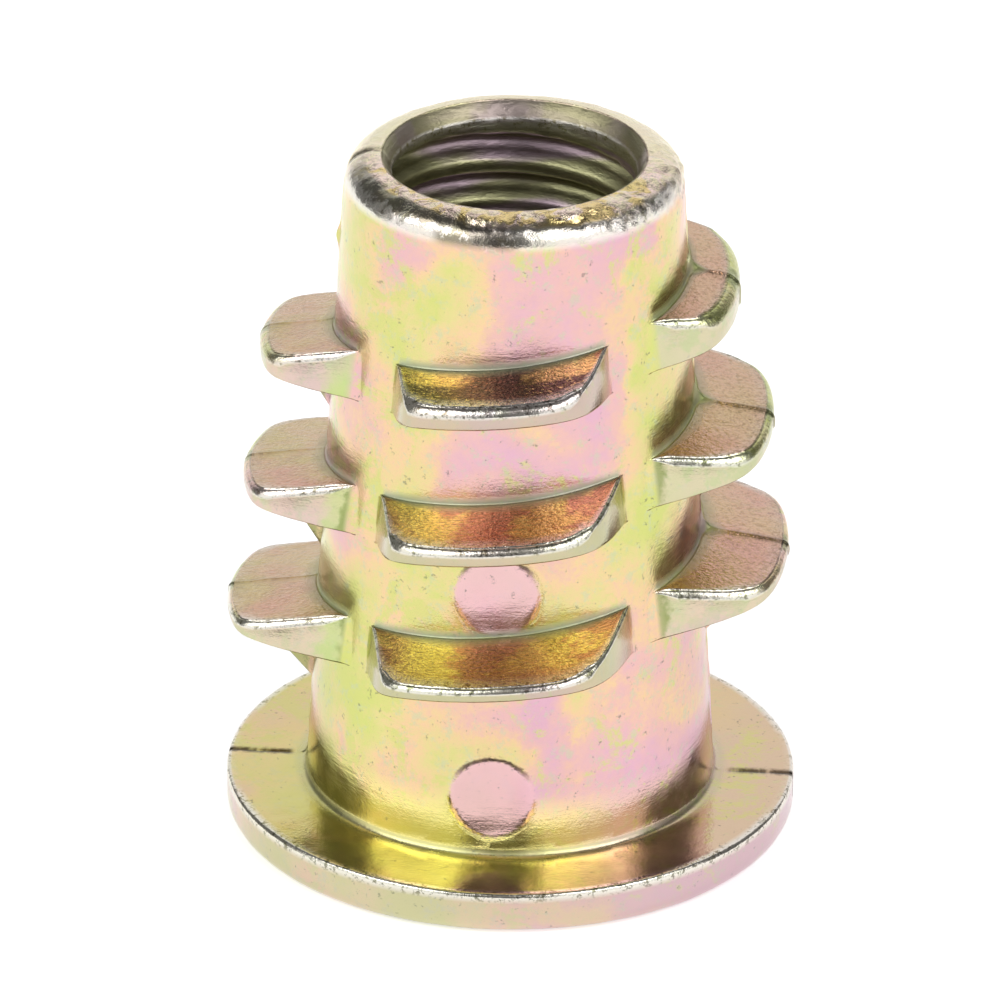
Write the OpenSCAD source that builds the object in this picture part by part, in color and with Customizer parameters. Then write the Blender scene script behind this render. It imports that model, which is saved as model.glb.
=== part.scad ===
// Flanged screw-in threaded insert, M10, die-cast in one piece.
// Millimetres. The origin is the centre of the flange's outer face, +Z runs to the tip,
// and the two halves of the die part along the X axis and open along Y.

/* [Body] */
// Overall length, from the flange's outer face to the tip
length = 25.2; // [21:0.1:36]
// Body diameter at the flange's outer face, as if the cone ran on to it
body_base_d = 14.56; // [13.4:0.02:17.5]
// Body diameter where the tip starts to round over
body_tip_d = 11.74; // [10.8:0.02:14.5]
// Height of the rounding at the tip
rim_round_h = 0.8; // [0.3:0.1:1.5]
// Radial width of the rounding at the tip
rim_round_w = 1.25; // [0.3:0.05:1.3]

/* [Flange] */
// Flange diameter
flange_d = 20.04; // [17:0.02:26]
// Flange thickness
flange_t = 1.6; // [1.2:0.1:3]
// Radius of the flange's outer-face edge
foot_round = 0.6; // [0.1:0.05:0.8]
// Radius of the flange's edge on the body side
seat_round = 0.15; // [0.05:0.05:0.3]
// Fillet between the flange and the body
root_fillet = 0.28; // [0.1:0.02:0.6]

/* [Bore and drive] */
// Bore diameter, which is the minor diameter of the M10 x 1.5 thread
bore_d = 8.5; // [6.5:0.05:8.8]
// Radial width of the countersink at the tip
mouth_width = 0.3; // [0.1:0.05:0.5]
// Depth of the countersink at the tip
mouth_depth = 0.6; // [0.2:0.1:1.2]
// Width across flats of the hex key that drives the insert
key_af = 10; // [8:0.1:11]
// Clearance between the key and each flat of the socket
key_clearance = 0.1; // [0.05:0.05:0.2]
// Depth of the hex socket, from the flange's outer face
socket_depth = 5; // [3:0.1:8]
// Depth of the chamfer at the socket's mouth
socket_chamfer = 0.4; // [0.1:0.1:0.6]

/* [Screw lugs] */
// Turns of the coarse outer thread
turn_count = 3; // [1:1:3]
// Lead of the coarse outer thread
lug_pitch = 5; // [4:0.1:5.4]
// Distance from the tip down to the root of the first lug on the front
lug_start = 5.3; // [4.8:0.1:7]
// Crest diameter of the lead-in lugs
lead_crest_d = 15.7; // [14:0.1:17]
// Crest diameter at the first lug on the front, if it weren't a lead-in lug
crest_start_d = 17.32; // [16:0.02:19]
// Growth of the crest diameter in one turn
crest_growth = 1.18; // [0:0.02:1.5]
// Largest crest diameter
crest_max_d = 19.96; // [17:0.02:26]
// Axial thickness of a lug at its root
lug_root_t = 1.87; // [1.2:0.01:2.4]
// Fall of the flank on the tip side, for each millimetre of radius
lead_flank = 0.15; // [0:0.01:0.25]
// Rise of the flank on the flange side, for each millimetre of radius
back_flank = 0.3; // [0:0.01:0.35]
// Half widths at the root of the front and back lugs, one for each turn
pull_lug_half = [3.85, 4.4, 4.7]; // [3.4:0.01:5]
// Half widths at the root of the side lugs, one for each turn
side_lug_half = [3.75, 4.12, 4.35]; // [3.4:0.01:5]
// Draft of the end walls of the front and back lugs, for each millimetre of height
pull_draft = 0.17; // [0.05:0.01:0.25]
// Draft of the end faces of the side lugs, for each millimetre of height
side_draft = 0.09; // [0.02:0.01:0.2]
// How much narrower a lug is at its upper edge, on each side
edge_lean = 0.2; // [0:0.05:0.3]
// Chamfer along the crest edges
crest_chamfer = 0.14; // [0.05:0.01:0.2]

/* [Ejector pin marks] */
// Diameter of the ejector pins
pin_d = 2.96; // [2:0.02:4]
// Height of the lower mark's centre above the flange
pin_low_rise = 2.2; // [1.8:0.1:3]
// Height of the upper mark's centre above the root of the last front lug
pin_high_rise = 1.5; // [0.8:0.1:2.2]
// Depth to which a mark's disc reaches into the body
pin_embed = 0.5; // [0.4:0.1:1]

/* [Hidden] */

$fn = 96;
// How far a cut runs past the face it opens through
overlap = 0.5;
// How far a lug reaches into the body, and the least that a ring's crest stands above that
lug_embed = 0.2;
least_crest = 0.05;
// Narrowest flat lip between the countersink and the rounding at the tip
least_lip = 0.05;
// Lugs in a turn, and the direction from which their heights are counted
lugs_per_turn = 4;
front_angle = -90;
full_turn = 360;
hex_sides = 6;
section_points = 6;
// Steps along a rounding, and along a lug's end walls, crest corners and crest
arc_steps = 8;
wall_steps = 3;
corner_steps = 4;
crest_steps = 4;
// Angle on each side of a crest corner that has the closest rings
corner_span = 5;
// Powers that blend a crest into its end walls: the corners are rounder on the +X side
sharp_corner = 22;
round_corner = 11;

flange_r = flange_d / 2;
bore_r = bore_d / 2;
mouth_r = bore_r + mouth_width;
socket_af = key_af + 2 * key_clearance;
socket_corner_r = socket_af / 2 / cos(full_turn / hex_sides / 2);
rim_start = length - rim_round_h;
rim_w = min(rim_round_w, body_tip_d / 2 - mouth_r - least_lip);
lug_start_z = length - lug_start;
lead_in_turns = 1 / lugs_per_turn / 2;

// Radius of the tapered body at a height
function body_r(z) = (body_base_d + (body_tip_d - body_base_d) * z / rim_start) / 2;

// Points of a quarter ellipse about a centre, between two angles
function arc_points(centre, w, h, from, to) = [
    for (i = [0 : arc_steps])
        let (a = from + (to - from) * i / arc_steps)
        [centre[0] + w * cos(a), centre[1] + h * sin(a)]
];

// Half section of the body and the flange, from the axis outwards and up
outer_profile = concat(
    [[0, 0]],
    arc_points([flange_r - foot_round, foot_round], foot_round, foot_round, -90, 0),
    arc_points([flange_r - seat_round, flange_t - seat_round], seat_round, seat_round, 0, 90),
    arc_points([body_r(flange_t) + root_fillet, flange_t + root_fillet],
               root_fillet, root_fillet, 270, 180),
    arc_points([body_tip_d / 2 - rim_w, rim_start], rim_w, rim_round_h, 0, 90),
    [[0, length]]
);

// Crest radius of a lug that lies a number of turns below the first one on the front
function crest_r(turns) = turns < lead_in_turns
    ? lead_crest_d / 2
    : min(crest_max_d, crest_start_d + crest_growth * turns) / 2;

// The smaller of two radii; a lower power makes a rounder change from one to the other
function blend_min(a, b, power) = pow(pow(a, -power) + pow(b, -power), -1 / power);

// Distance from the axis, along a lug's middle, of the line where its end wall meets the body
function root_depth(r, half) = sqrt(r * r - half * half);

// Radius at which an end wall stands, at an angle from the middle of its lug
function wall_r(half, depth, draft, angle) =
    (half + draft * depth) / (abs(sin(angle)) + draft * cos(angle));

// Angle from the middle of a lug at which its end wall stands at a radius
function wall_angle(half, depth, draft, r) =
    asin((half + draft * depth) / (r * sqrt(1 + draft * draft))) - atan(draft);

// One closed ring of a lug's section, in the plane through the axis at an angle from its middle
function lug_ring(middle, angle, crest, half, draft) =
    let (
        root_z = lug_start_z + lug_pitch * (middle + angle - front_angle) / full_turn,
        root_r = body_r(root_z),
        inner_r = root_r - lug_embed,
        depth = root_depth(root_r, half),
        power = cos(middle + angle) > 0 ? round_corner : sharp_corner,
        low_wall = wall_r(half, depth, draft, angle),
        top_wall = wall_r(half - edge_lean, depth, draft, angle),
        low_r = max(inner_r + least_crest, blend_min(crest, low_wall, power)),
        top_r = max(inner_r + least_crest, blend_min(crest, top_wall, power)),
        bevel = min(crest_chamfer, (min(low_r, top_r) - inner_r) / 2),
        low_root_z = root_z - lug_root_t,
        section = [
            [inner_r, root_z + lead_flank * lug_embed],
            [top_r - bevel, root_z - lead_flank * (top_r - bevel - root_r)],
            [top_r, root_z - lead_flank * (top_r - root_r) - bevel],
            [low_r, low_root_z + back_flank * (low_r - root_r) + bevel],
            [low_r - bevel, low_root_z + back_flank * (low_r - bevel - root_r)],
            [inner_r, low_root_z - back_flank * lug_embed]
        ]
    )
    [for (p = section) [p[0] * cos(middle + angle), p[0] * sin(middle + angle), p[1]]];

// Angles of a lug's rings, from one end to the other, closest together at the crest's corners
function steps(from, to, count) = [for (i = [0 : count - 1]) from + (to - from) * i / count];
function ring_angles(reach, corner) = concat(
    steps(-reach, -corner - corner_span, wall_steps),
    steps(-corner - corner_span, corner_span - corner, corner_steps),
    steps(corner_span - corner, corner - corner_span, crest_steps),
    steps(corner - corner_span, corner + corner_span, corner_steps),
    steps(corner + corner_span, reach, wall_steps),
    [reach]
);

// Triangles that close a stack of equal rings, with a fan at each end
function stack_faces(count, sides) = concat(
    [for (i = [1 : sides - 2]) [0, i, i + 1]],
    [for (i = [1 : sides - 2]) [(count - 1) * sides, (count - 1) * sides + i + 1,
                                (count - 1) * sides + i]],
    [for (r = [0 : count - 2], i = [0 : sides - 1])
        [r * sides + i, (r + 1) * sides + i, (r + 1) * sides + (i + 1) % sides]],
    [for (r = [0 : count - 2], i = [0 : sides - 1])
        [r * sides + i, (r + 1) * sides + (i + 1) % sides, r * sides + (i + 1) % sides]]
);

// One lug of the coarse outer thread; lug 0 is the first one, at +X
module screw_lug(index) {
    middle = -full_turn / lugs_per_turn * index;
    turns = (index - 1) / lugs_per_turn;
    row = min(turn_count - 1, floor(index / lugs_per_turn));
    faces_die = index % 2 == 1;
    half = faces_die ? pull_lug_half[row] : side_lug_half[row];
    draft = faces_die ? pull_draft : side_draft;
    crest = crest_r(turns);
    root_r = body_r(lug_start_z - lug_pitch * turns);
    depth = root_depth(root_r, half);
    reach = wall_angle(half, depth, draft, root_r - lug_embed);
    angles = ring_angles(reach, wall_angle(half, depth, draft, crest));
    points = [for (a = angles) each lug_ring(middle, a, crest, half, draft)];
    polyhedron(points = points, faces = stack_faces(len(angles), section_points),
               convexity = 4);
}

// Flat disc that an ejector pin leaves on the front of the body
module pin_mark(z) {
    face = body_r(z);
    translate([0, -face, z])
        rotate([-90, 0, 0])
            cylinder(h = pin_embed, d = pin_d);
}

// Drilled core: thread bore, countersunk mouth and hex socket
module core() {
    translate([0, 0, socket_depth - overlap])
        cylinder(h = length - socket_depth + 2 * overlap, r = bore_r);
    translate([0, 0, length - mouth_depth])
        cylinder(h = mouth_depth + overlap, r1 = bore_r,
                 r2 = bore_r + mouth_width * (mouth_depth + overlap) / mouth_depth);
    translate([0, 0, -overlap])
        cylinder(h = socket_depth + overlap, r = socket_corner_r, $fn = hex_sides);
    translate([0, 0, -overlap])
        cylinder(h = socket_chamfer + overlap, r1 = socket_corner_r + overlap,
                 r2 = socket_corner_r - socket_chamfer);
}

module insert_body() {
    color("#d8c98c")
        difference() {
            union() {
                rotate_extrude() polygon(outer_profile);
                for (i = [0 : turn_count * lugs_per_turn - 1]) screw_lug(i);
                pin_mark(flange_t + pin_low_rise);
                pin_mark(lug_start_z - lug_pitch * (turn_count - 1) + pin_high_rise);
            }
            core();
        }
}

insert_body();
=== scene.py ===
import math
from types import SimpleNamespace

import bmesh
import bpy
import numpy as np
from mathutils import Matrix, Vector, noise


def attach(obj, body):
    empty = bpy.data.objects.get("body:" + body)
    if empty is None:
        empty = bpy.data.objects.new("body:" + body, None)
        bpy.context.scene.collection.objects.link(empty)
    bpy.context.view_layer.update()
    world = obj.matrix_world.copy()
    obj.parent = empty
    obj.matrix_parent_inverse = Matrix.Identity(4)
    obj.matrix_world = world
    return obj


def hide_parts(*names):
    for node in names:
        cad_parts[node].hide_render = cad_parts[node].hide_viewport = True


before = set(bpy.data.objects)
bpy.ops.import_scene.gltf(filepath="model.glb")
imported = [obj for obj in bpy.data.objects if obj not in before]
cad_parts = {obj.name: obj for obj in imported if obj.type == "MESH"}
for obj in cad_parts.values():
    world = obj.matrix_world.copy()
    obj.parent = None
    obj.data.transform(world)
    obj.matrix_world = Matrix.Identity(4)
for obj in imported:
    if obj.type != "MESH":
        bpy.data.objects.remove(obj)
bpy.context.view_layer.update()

# Threaded insert: the casting's visible surface, with the inner thread, the parting seams, the
# ejector-pin marks and the cast grain. Sizes are in millimetres and degrees; insert_mesh() turns
# them into metres at the end.

# ---- Body, flange and drive, as in the CAD model but for the rim, which is rolled a little higher
LENGTH = 25.2
BODY_BASE_R = 7.28
BODY_TIP_R = 5.87
TAPER_TOP = 24.4
RIM_ROUND_H = 1.0
RIM_ROUND_W = 1.25
RIM_START = LENGTH - RIM_ROUND_H
FLANGE_R = 10.02
FLANGE_T = 1.6
# Rounds of the flange's lower and upper edge
FOOT_ROUND = 0.6
SEAT_ROUND = 0.15
ROOT_FILLET = 0.28
BORE_R = 4.25
MOUTH_R = 4.55
MOUTH_DEPTH = 0.6
MOUTH_EDGE_DROP = 0.03
# Share of the way down the mouth where the rim's columns give way to the bore's
MOUTH_SHARE = 0.85
SOCKET_FLAT_R = 5.1
SOCKET_CORNER_R = SOCKET_FLAT_R / math.cos(math.radians(30))
SOCKET_DEPTH = 5.0
SOCKET_CHAMFER = 0.4

# ---- Coarse outer thread: twelve lugs, three in each of four directions. "Pull" lugs face the way
# the mould opened, to the front and the back, and "side" lugs lie on the parting seam.
# Upper root of the first front lug
LUG_START_Z = 19.9
LUG_PITCH = 5.0
LUG_TURNS = 3
LUG_ROOT_T = 1.87
# Crest radius of the first lug, and of the next one with its growth in a turn
LEAD_CREST_R = 7.85
CREST_START_R = 8.66
CREST_GROWTH = 0.59
CREST_MAX_R = 9.98
# How far the upper and the lower flank drop or rise for each millimetre out
LEAD_FLANK = 0.15
BACK_FLANK = 0.3
# Half-widths in each turn, and how far the end faces draw in for each millimetre out
PULL_LUG_HALF = (3.85, 4.4, 4.7)
SIDE_LUG_HALF = (3.75, 4.12, 4.35)
PULL_DRAFT = 0.17
SIDE_DRAFT = 0.09
# How much further in a lug's upper edge ends than its lower one
EDGE_LEAN = 0.2
# Powers of the curve from the crest to the end faces, on the left and on the right
SHARP_CORNER = 22
ROUND_CORNER = 11
# Fillets at the roots, and rounds of the edges
PULL_FILLET = 0.07
SIDE_FILLET = 0.11
END_FILLET = 0.05
UPPER_EDGE_ROUND = 0.6
PULL_END_ROUND = 0.14
SIDE_END_ROUND = 0.3
LOWER_EDGE_ROUND = 0.12
# Webs in the corners at the parting seam: reach out and down under each turn's lugs, reach above
# the lugs on the right, and half-width
WEB_OUT = (1.2, 1.6, 2.6)
WEB_DOWN = (1.5, 1.9, 2.1)
WEB_ABOVE = 0.5
WEB_HALF_W = 0.3

# The rim's rough inner side reaches out to these radii, on the left and from the front to the right
ROUGH_LEFT_R = 5.2
ROUGH_FRONT_R = 5.55

# ---- Inner thread
THREAD_PITCH = 1.5
THREAD_MAJOR_R = 4.98
THREAD_CREST_Z = 24.3
THREAD_TOP = LENGTH - MOUTH_DEPTH
THREAD_RUN_OUT = 0.7

# ---- Ejector-pin marks on the front: (x, z) of their centres, radius and width of the step round them
PIN_MARKS = ((-0.1, 3.8), (0.0, 11.4))
PIN_R = 1.48
PIN_EDGE = 0.12

# ---- Parting seam: half-width and height of the ridge, more on the right lugs, a burr on the left near
# the tip, a line across the flange and a notch in the rim on the left
SEAM_HALF_W = 0.09
SEAM_RIDGE = 0.03
LUG_RIDGE = 0.04
BURR_Z = 21.9
BURR_HALF_H = 0.4
BURR_RIDGE = 0.13
FLANGE_LINE_DEPTH = 0.04
NOTCH_HALF_W = 0.16
NOTCH_DEPTH = 0.1

# ---- Mesh resolution
OUTER_COLUMNS = 340
BORE_COLUMNS = 112
SOCKET_COLUMNS = 96
RIM_ROWS = 16
# Points of a spiral that are this near its last ring, or past it, take the ring's own points
SNAP = 0.05
# Keeps the rows of the socket's mouth apart, and tells points that rest on the floor from others
TINY = 0.001

MM = 0.001


# ================================================================== shape of the casting


def body_r(z):
    """Radius of the tapered body at a height."""
    return BODY_BASE_R + (BODY_TIP_R - BODY_BASE_R) * z / TAPER_TOP


def smooth_step(low, high, value):
    """0 below low, 1 above high, and a smooth change between them."""
    t = np.clip((value - low) / (high - low), 0, 1)
    return t * t * (3 - 2 * t)


def column_turns():
    """Columns' positions in turns, clockwise from +45 degrees, closest where there is detail."""
    at = np.linspace(0, 360, 7201)
    theta = 45 - at
    from_axis = np.abs((theta + 45) % 90 - 45)
    from_seam = np.abs((theta + 90) % 180 - 90)
    from_front = np.abs(theta + 90)
    density = np.full(at.shape, 0.55)
    density[from_axis > 22] = 1.15  # the lugs' ends
    density[from_front < 14] = 1.1  # the pin marks
    density[from_seam < 1.6] = 4.0  # the seam
    total = np.concatenate(([0], np.cumsum((density[1:] + density[:-1]) / 2)))
    return np.interp(np.arange(OUTER_COLUMNS) * total[-1] / OUTER_COLUMNS, total, at) / 360


def lug_heights(turns, row, root_z):
    """Heights of a row of lugs above the body at each column, at their upper and lower edges; a
    number that goes from 0 at a lug's end to 1 well outside it, and one that is 1 on the crest."""
    if not 0 <= row < LUG_TURNS:
        none = np.zeros_like(root_z)
        return none, none, none + 1, none
    facing = np.floor(turns * 4).astype(int)
    angle = np.radians(45 - 360 * turns + 90 * facing)
    pull = facing % 2 == 1
    half = np.where(pull, PULL_LUG_HALF[row], SIDE_LUG_HALF[row])
    draft = np.where(pull, PULL_DRAFT, SIDE_DRAFT)
    below = row + (facing - 1) / 4
    crest = np.minimum(CREST_MAX_R, CREST_START_R + CREST_GROWTH * below)
    crest = np.where(below < 0, LEAD_CREST_R, crest)
    right_side = np.cos(np.radians(45 - 360 * turns)) > 0
    power = np.where(right_side, ROUND_CORNER, SHARP_CORNER)
    root_r = body_r(root_z)
    depth = np.sqrt(root_r ** 2 - half ** 2)
    heights = []
    for lean in (EDGE_LEAN, 0):
        wall = (half - lean + draft * depth) / (np.abs(np.sin(angle)) + draft * np.cos(angle))
        rise = (crest ** -power + wall ** -power) ** (-1 / power) - root_r
        height = (rise + np.sqrt(rise ** 2 + END_FILLET ** 2)) / 2
        heights.append(np.where(height < 0.005, 0, height))
    on_crest = smooth_step(0.75, 0.98, heights[0] / (crest - root_r))
    return heights[0], heights[1], smooth_step(0.1, 0.9, -rise), on_crest


# Weight of the corner that makes the curve round a right angle an arc
ARC_WEIGHT = math.sqrt(0.5)


def rounded_section(corners, radii, straight_rows, corner_rows):
    """Points along a line of corners, each rounded off; corners are (r, z) pairs for every column."""
    points = []
    last = corners[0]
    for i in range(1, len(corners) - 1):
        here = corners[i]
        back, ahead = corners[i - 1] - here, corners[i + 1] - here
        back_len = np.linalg.norm(back, axis=0) + 1e-9
        ahead_len = np.linalg.norm(ahead, axis=0) + 1e-9
        reach = np.minimum(radii[i - 1], 0.48 * np.minimum(back_len, ahead_len))
        start = here + back / back_len * reach
        end = here + ahead / ahead_len * reach
        rows = straight_rows[i - 1]
        points += [last + (start - last) * (k + 1) / (rows + 1) for k in range(rows)]
        for t in np.linspace(0, 1, corner_rows[i - 1]):
            pull = 2 * ARC_WEIGHT * t * (1 - t)
            points.append(((1 - t) ** 2 * start + pull * here + t * t * end)
                          / ((1 - t) ** 2 + pull + t * t))
        last = end
    points.append(corners[-1])
    return points


# One pitch of rows on the outer side, from a lug's upper root down to the next one's
FLANK_ROWS = (0, 4, 1, 3)
CORNER_ROWS = (4, 6, 4, 4)
BODY_ROWS = 11
ROWS_PER_PITCH = sum(FLANK_ROWS) + sum(CORNER_ROWS) + 1 + BODY_ROWS
UPPER_ROOT = slice(0, 4)
UPPER_FLANK = slice(3, 9)
UPPER_EDGE = slice(8, 13)
CREST = slice(12, 19)


def lug_rows(turns, row):
    """Radii and heights of one pitch of rows at each column, and how far a lug stands out there."""
    root_z = LUG_START_Z + LUG_PITCH * ((135 / 360 - turns) - row)
    top_h, low_h, outside, on_crest = lug_heights(turns, row, root_z)
    pull = np.floor(turns * 4) % 2 == 1
    angle = np.radians(45 - 360 * turns)
    from_seam = body_r(root_z) * np.abs(np.sin(angle))
    web = np.exp(-(from_seam / WEB_HALF_W) ** 2) * (top_h > 0)
    fillet = np.where(pull, PULL_FILLET, SIDE_FILLET)
    above = fillet + WEB_ABOVE * web * (np.cos(angle) > 0)
    web_out, web_down = (WEB_OUT[row], WEB_DOWN[row]) if 0 <= row < LUG_TURNS else (0, 0)
    out = web_out * web
    below = PULL_FILLET + (web_down - PULL_FILLET) * web
    base = body_r(root_z)
    low_z = root_z - LUG_ROOT_T
    # Beyond a lug's ends all the corners lie on the body, and are spread so that no two rows meet
    corners = [
        np.array([body_r(root_z + 2.1 * above), root_z + 2.1 * above]),
        np.array([base, root_z]),
        np.array([base + top_h, root_z - np.maximum(LEAD_FLANK * top_h, 0.05 + 0.45 * outside)]),
        np.array([base + low_h, low_z + np.maximum(BACK_FLANK * low_h, 0.05 + 0.4 * outside)]),
        np.array([body_r(low_z) + out, low_z + BACK_FLANK * out]),
        np.array([body_r(low_z - below), low_z - below]),
    ]
    end_round = np.where(pull, PULL_END_ROUND, SIDE_END_ROUND)
    edge_round = end_round + (UPPER_EDGE_ROUND - end_round) * on_crest
    radii = (above, edge_round, LOWER_EDGE_ROUND, PULL_FILLET)
    points = rounded_section(corners, radii, FLANK_ROWS, CORNER_ROWS)
    start_z = low_z - below - 0.02
    end_z = root_z - LUG_PITCH + above
    for k in range(BODY_ROWS):
        z = start_z + (end_z - start_z) * (k + 1) / (BODY_ROWS + 1)
        points.append(np.array([body_r(z), z]))
    grid = np.array(points)
    radius = np.maximum(grid[:, 0], body_r(grid[:, 1]))
    return radius, grid[:, 1], np.minimum(top_h, low_h)


# What a point can lie on: a lug's upper flank, its crest or end face, a worn edge, a root fillet,
# or the inside of the bore and the socket
MASKS = ("flank", "crest", "edge", "root", "inside")


class Surface:
    """Points, faces and what each point lies on, gathered piece by piece."""

    def __init__(self):
        self.points = []
        self.masks = {name: [] for name in MASKS}
        self.count = 0
        self.faces = []

    def add(self, x, y, z, **what):
        """Adds points and returns their numbers, in the shape of x."""
        x = np.asarray(x, dtype=float)
        points = np.stack(np.broadcast_arrays(x, y, z), axis=-1).reshape(-1, 3)
        self.points.append(points)
        for name, store in self.masks.items():
            store.append(np.broadcast_to(what.get(name, 0.0), x.shape).reshape(-1).astype(float))
        numbers = np.arange(self.count, self.count + len(points)).reshape(x.shape)
        self.count += len(points)
        return numbers

    def ring(self, radius, z, angles, **what):
        """Adds a closed ring round the axis, with a point at each angle."""
        return self.add(radius * np.cos(angles), radius * np.sin(angles), z, **what)

    def quads(self, a, b, c, d):
        """Adds four-sided faces, and three-sided ones where two corners are the same point."""
        for face in np.stack([a, b, c, d], axis=-1).reshape(-1, 4).tolist():
            corners = [p for i, p in enumerate(face) if p != face[i - 1]]
            if len(set(corners)) == len(corners) and len(corners) > 2:
                self.faces.append(corners)

    def bridge(self, first, second):
        """Joins two rings that have as many points."""
        self.quads(first, second, np.roll(second, -1), np.roll(first, -1))

    def zip(self, first, first_angles, second, second_angles):
        """Joins two rings that have different numbers of points, both in rising order of angle."""
        i = j = 0
        turn = 2 * math.pi
        n, m = len(first), len(second)
        while i < n or j < m:
            next_i = first_angles[(i + 1) % n] + turn * ((i + 1) // n)
            next_j = second_angles[(j + 1) % m] + turn * ((j + 1) // m)
            if j >= m or (i < n and next_i <= next_j):
                self.faces.append([int(first[i % n]), int(second[j % m]), int(first[(i + 1) % n])])
                i += 1
            else:
                self.faces.append([int(first[i % n]), int(second[j % m]), int(second[(j + 1) % m])])
                j += 1


def join_spiral(surface, index, shift):
    """Faces of a grid of rows that run on round the axis, each a number of rows lower every turn."""
    top, bottom = index[0], index[-1]
    wrapped = np.concatenate([index[shift:, 0], np.full(shift, bottom[0])])
    left = index
    right = np.concatenate([index[:, 1:], wrapped[:, None]], axis=1)
    assert (index[:shift, 0] == top[0]).all(), "the rows that start a spiral lie on its top ring"
    surface.quads(left[:-1], left[1:], right[1:], right[:-1])


def outer_side(surface, turns, theta, top_ring, bottom_ring):
    """The tapered body and its lugs, between two rings."""
    top_z, bottom_z = RIM_START, FLANGE_T + ROOT_FILLET
    blocks = []
    for row in range(-2, LUG_TURNS + 2):
        radius, z, height = lug_rows(turns, row)
        lug = smooth_step(0.03, 0.18, height)
        what = {name: np.zeros_like(radius) for name in MASKS}
        what["root"][UPPER_ROOT] = lug
        what["flank"][UPPER_FLANK] = lug
        what["edge"][UPPER_EDGE] = lug
        what["crest"][CREST] = lug
        blocks.append((radius, z, what))
    radius = np.concatenate([b[0] for b in blocks])
    z = np.concatenate([b[1] for b in blocks])
    masks = {name: np.concatenate([b[2][name] for b in blocks]) for name in MASKS}
    numbers = surface.add(radius * np.cos(theta), radius * np.sin(theta), z, **masks)
    numbers = np.where(z > top_z - SNAP, top_ring, numbers)
    numbers = np.where(z < bottom_z + SNAP, bottom_ring, numbers)
    join_spiral(surface, numbers, ROWS_PER_PITCH)


def rim(surface, theta, top_ring):
    """The rounded rim, from the body up to the flat lip and down to the countersink."""
    last = top_ring
    outer = body_r(RIM_START)
    for k in range(1, RIM_ROWS + 1):
        a = math.radians(90) * k / RIM_ROWS
        ring = surface.ring(outer - RIM_ROUND_W + RIM_ROUND_W * math.cos(a),
                            RIM_START + RIM_ROUND_H * math.sin(a), theta)
        surface.bridge(last, ring)
        last = ring
    mouth = surface.ring(MOUTH_R, LENGTH - MOUTH_EDGE_DROP, theta, inside=1.0)
    lip = surface.ring(MOUTH_R + (BORE_R - MOUTH_R) * MOUTH_SHARE, LENGTH - MOUTH_DEPTH * MOUTH_SHARE,
                       theta, inside=1.0)
    surface.bridge(last, mouth)
    surface.bridge(mouth, lip)
    return lip


# Rows of the flange in its root fillet, on its upper face, round the upper edge, on its side and
# round the lower edge. The worn edge is the upper one, from the last row of the upper face.
FLANGE_ROWS = (4, 10, 3, 4, 5)
WORN_ROWS = range(sum(FLANGE_ROWS[:2]) - 1, sum(FLANGE_ROWS[:3]))


def flange(surface, theta, body_ring):
    """The flange, from the body's foot round to the edge of its outer face."""
    in_fillet, on_face, round_upper, on_side, round_lower = FLANGE_ROWS
    profile = []
    for k in range(1, in_fillet + 1):
        a = math.radians(180 + 90 * k / in_fillet)
        centre = body_r(FLANGE_T) + ROOT_FILLET
        profile.append((centre + ROOT_FILLET * math.cos(a),
                        FLANGE_T + ROOT_FILLET + ROOT_FILLET * math.sin(a)))
    start = profile[-1][0]
    for k in range(1, on_face + 1):
        profile.append((start + (FLANGE_R - SEAT_ROUND - start) * k / on_face, FLANGE_T))
    for k in range(1, round_upper + 1):
        a = math.radians(90 - 90 * k / round_upper)
        profile.append((FLANGE_R - SEAT_ROUND + SEAT_ROUND * math.cos(a),
                        FLANGE_T - SEAT_ROUND + SEAT_ROUND * math.sin(a)))
    for k in range(1, on_side + 1):
        profile.append((FLANGE_R, FLANGE_T - SEAT_ROUND
                        + (FOOT_ROUND - FLANGE_T + SEAT_ROUND) * k / on_side))
    for k in range(1, round_lower + 1):
        a = math.radians(-90 * k / round_lower)
        profile.append((FLANGE_R - FOOT_ROUND + FOOT_ROUND * math.cos(a),
                        FOOT_ROUND + FOOT_ROUND * math.sin(a)))
    last = body_ring
    for i, (radius, z) in enumerate(profile):
        ring = surface.ring(radius, z, theta, edge=float(i in WORN_ROWS), root=0.5 * (i < in_fillet))
        surface.bridge(last, ring)
        last = ring
    return last


def hex_socket(surface, angles):
    """The hex socket, from the flange's outer face in to its floor."""
    flat = SOCKET_FLAT_R / np.cos((angles + 1e-9) % math.radians(60) - math.radians(30))
    chamfer = np.maximum(flat, SOCKET_CORNER_R - SOCKET_CHAMFER)
    outer = surface.ring(SOCKET_CORNER_R + 3 * TINY, 0.0, angles, inside=1.0)
    step = surface.ring(chamfer + 2 * TINY, SOCKET_CORNER_R - chamfer + TINY, angles, inside=1.0)
    surface.bridge(outer, step)
    last = step
    for k in range(7):
        z = SOCKET_CORNER_R - chamfer + 20 * TINY
        z = z + (SOCKET_DEPTH - z) * k / 6
        ring = surface.ring(flat, z, angles, inside=1.0)
        surface.bridge(last, ring)
        last = ring
    return outer, last


def thread_rows(angle, start):
    """(r, z) of one pitch of the inner thread at each column, from one crest down to the next."""
    depth = THREAD_MAJOR_R - BORE_R
    # Shares of the pitch down and of the depth out
    shape = ((0.0, 0.0), (0.09, 0.0), (0.18, 0.06), (0.3, 0.5), (0.42, 0.93),
             (0.5, 1.0), (0.62, 1.0), (0.72, 0.6), (0.84, 0.1), (0.92, 0.0))
    radius, height = [], []
    for down, out in shape:
        z = start + THREAD_PITCH * (angle / (2 * math.pi) - down)
        fade = smooth_step(0, THREAD_RUN_OUT, THREAD_TOP - z)
        radius.append(BORE_R + depth * out * fade)
        height.append(z)
    return np.array(radius), np.array(height)


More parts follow.
